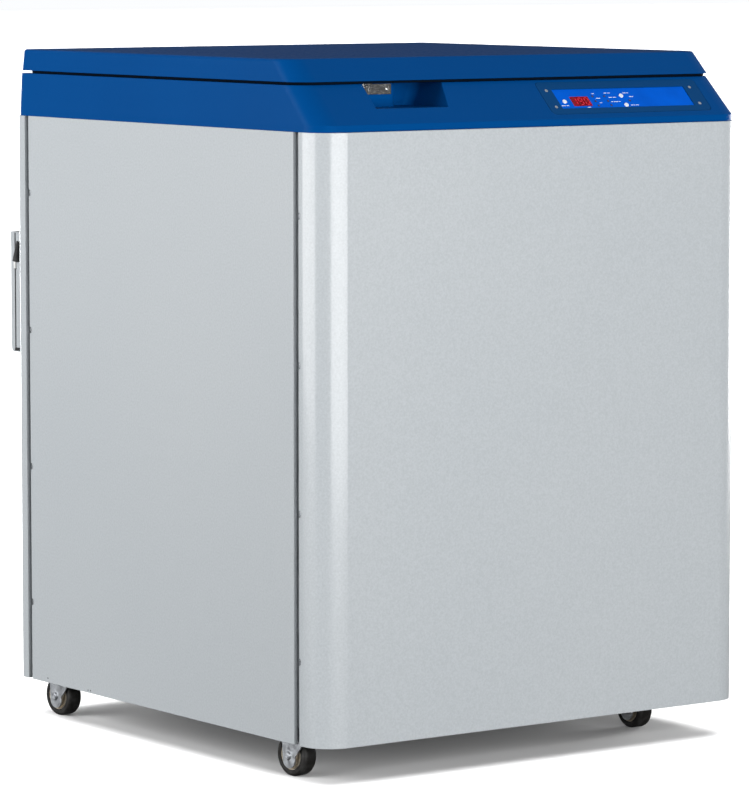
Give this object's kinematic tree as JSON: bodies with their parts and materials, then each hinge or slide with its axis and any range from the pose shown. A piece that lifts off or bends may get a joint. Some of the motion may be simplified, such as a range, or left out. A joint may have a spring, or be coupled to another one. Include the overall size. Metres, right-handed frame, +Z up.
{
  "type": "cryogenic storage freezer",
  "caption": "Floor-standing liquid-nitrogen sample freezer: round vacuum vessel with turntable in a steel cabinet, hinged insulated lid, sloping control panel, swivel casters.",
  "frame": {"origin": "on the floor, under the middle of the bounding box", "axes": "+X to the right seen from the front, +Y to the back, +Z up"},
  "size_m": [0.8, 0.908, 1.062],
  "materials": {
    "panel_paint": "satin",
    "cowl_blue": "satin",
    "galvanised": "satin",
    "stainless": "satin",
    "chrome": "polished",
    "zinc": "satin",
    "tyre_black": "satin",
    "rubber_black": "matte",
    "rubber_grey": "matte",
    "brass": "satin",
    "bezel_teal": "satin",
    "label_blue": "satin",
    "display_red": "gloss",
    "lamp_dark": "gloss",
    "button_white": "satin",
    "board_green": "satin",
    "housing_black": "matte",
    "liner_white": "satin",
    "foam": "matte",
    "aluminium": "satin",
    "collar_white": "satin"
  },
  "bodies": {
    "cabinet": {"base_frame": "galvanised", "corner_posts": "galvanised", "front_shell": "panel_paint", "right_side_panel": "panel_paint", "left_side_panel": "panel_paint", "rear_panel": "panel_paint", "panel_screws": "zinc", "top_cowl": "cowl_blue", "vessel_outer": "stainless", "vessel_inner": "stainless", "neck_ring": "liner_white", "vessel_feet": "rubber_black", "pivot_post": "stainless", "level_sensor": "stainless", "controller_housing": "housing_black", "controller_bezel": "bezel_teal", "controller_label": "label_blue", "display_window": "display_red", "status_leds": "lamp_dark", "bezel_screws": "zinc", "circuit_board": "board_green", "power_inlet": "housing_black", "fill_inlet": "brass", "fill_valve": "brass", "fill_pipe": "stainless", "relief_valve": "brass", "guard_base": "panel_paint", "guard_cover": "panel_paint", "probe_boot": "rubber_black", "probe_collar": "collar_white", "probe_cable": "rubber_black", "probe_clamp": "rubber_black", "latch_plate": "chrome", "hinge_leaves": "stainless", "caster_mounts": "zinc"},
    "lid": {"lid_shell": "cowl_blue", "lid_liner": "liner_white", "plug_shell": "liner_white", "plug_foam": "foam", "lid_gasket": "rubber_grey", "hinge_arms": "stainless", "latch_keeper": "chrome"},
    "latch": {"latch_lever": "chrome"},
    "carousel": {"carousel": "aluminium"},
    "power_button": {"power_button": "button_white"},
    "up_button": {"up_button": "button_white"},
    "down_button": {"down_button": "button_white"},
    "fork_front_left": {"caster_fork_front_left": "zinc"},
    "wheel_front_left": {"caster_tyre_front_left": "tyre_black", "caster_hub_front_left": "zinc"},
    "fork_rear_left": {"caster_fork_rear_left": "zinc"},
    "wheel_rear_left": {"caster_tyre_rear_left": "tyre_black", "caster_hub_rear_left": "zinc"},
    "fork_front_right": {"caster_fork_front_right": "zinc"},
    "wheel_front_right": {"caster_tyre_front_right": "tyre_black", "caster_hub_front_right": "zinc"},
    "fork_rear_right": {"caster_fork_rear_right": "zinc"},
    "wheel_rear_right": {"caster_tyre_rear_right": "tyre_black", "caster_hub_rear_right": "zinc"}
  },
  "joints": [
    {"name": "lid_hinge", "type": "hinge", "parent": "cabinet", "child": "lid", "pos_m": [0, 0.395, 1.027], "axis": [-1, 0, 0], "range_deg": [0, 85]},
    {"name": "latch_turn", "type": "hinge", "parent": "cabinet", "child": "latch", "pos_m": [-0.262, -0.3695, 1.0145], "axis": [0, 1, 0], "range_deg": [0, 20]},
    {"name": "carousel_spin", "type": "hinge", "parent": "cabinet", "child": "carousel", "pos_m": [0, 0.011, 0.262], "axis": [0, 0, 1], "continuous": true},
    {"name": "power_button_press", "type": "slide", "parent": "cabinet", "child": "power_button", "axis": [0, 0.6887, -0.725], "range_m": [0, 0.0015], "stiffness_N_per_m": 400, "springref_m": -0.002},
    {"name": "up_button_press", "type": "slide", "parent": "cabinet", "child": "up_button", "axis": [0, 0.6887, -0.725], "range_m": [0, 0.0015], "stiffness_N_per_m": 400, "springref_m": -0.002},
    {"name": "down_button_press", "type": "slide", "parent": "cabinet", "child": "down_button", "axis": [0, 0.6887, -0.725], "range_m": [0, 0.0015], "stiffness_N_per_m": 400, "springref_m": -0.002},
    {"name": "swivel_front_left", "type": "hinge", "parent": "cabinet", "child": "fork_front_left", "pos_m": [-0.36, -0.347, 0.082], "axis": [0, 0, 1], "continuous": true},
    {"name": "spin_front_left", "type": "hinge", "parent": "fork_front_left", "child": "wheel_front_left", "pos_m": [-0.36146, -0.33509, 0.03175], "axis": [0.9925, 0.1219, 0], "continuous": true},
    {"name": "swivel_rear_left", "type": "hinge", "parent": "cabinet", "child": "fork_rear_left", "pos_m": [-0.36, 0.308, 0.082], "axis": [0, 0, 1], "continuous": true},
    {"name": "spin_rear_left", "type": "hinge", "parent": "fork_rear_left", "child": "wheel_rear_left", "pos_m": [-0.36146, 0.31991, 0.03175], "axis": [0.9925, 0.1219, 0], "continuous": true},
    {"name": "swivel_front_right", "type": "hinge", "parent": "cabinet", "child": "fork_front_right", "pos_m": [0.307, -0.316, 0.082], "axis": [0, 0, 1], "continuous": true},
    {"name": "spin_front_right", "type": "hinge", "parent": "fork_front_right", "child": "wheel_front_right", "pos_m": [0.307, -0.304, 0.03175], "axis": [1, 0, 0], "continuous": true},
    {"name": "swivel_rear_right", "type": "hinge", "parent": "cabinet", "child": "fork_rear_right", "pos_m": [0.307, 0.308, 0.082], "axis": [0, 0, 1], "continuous": true},
    {"name": "spin_rear_right", "type": "hinge", "parent": "fork_rear_right", "child": "wheel_rear_right", "pos_m": [0.307, 0.32, 0.03175], "axis": [1, 0, 0], "continuous": true}
  ]
}
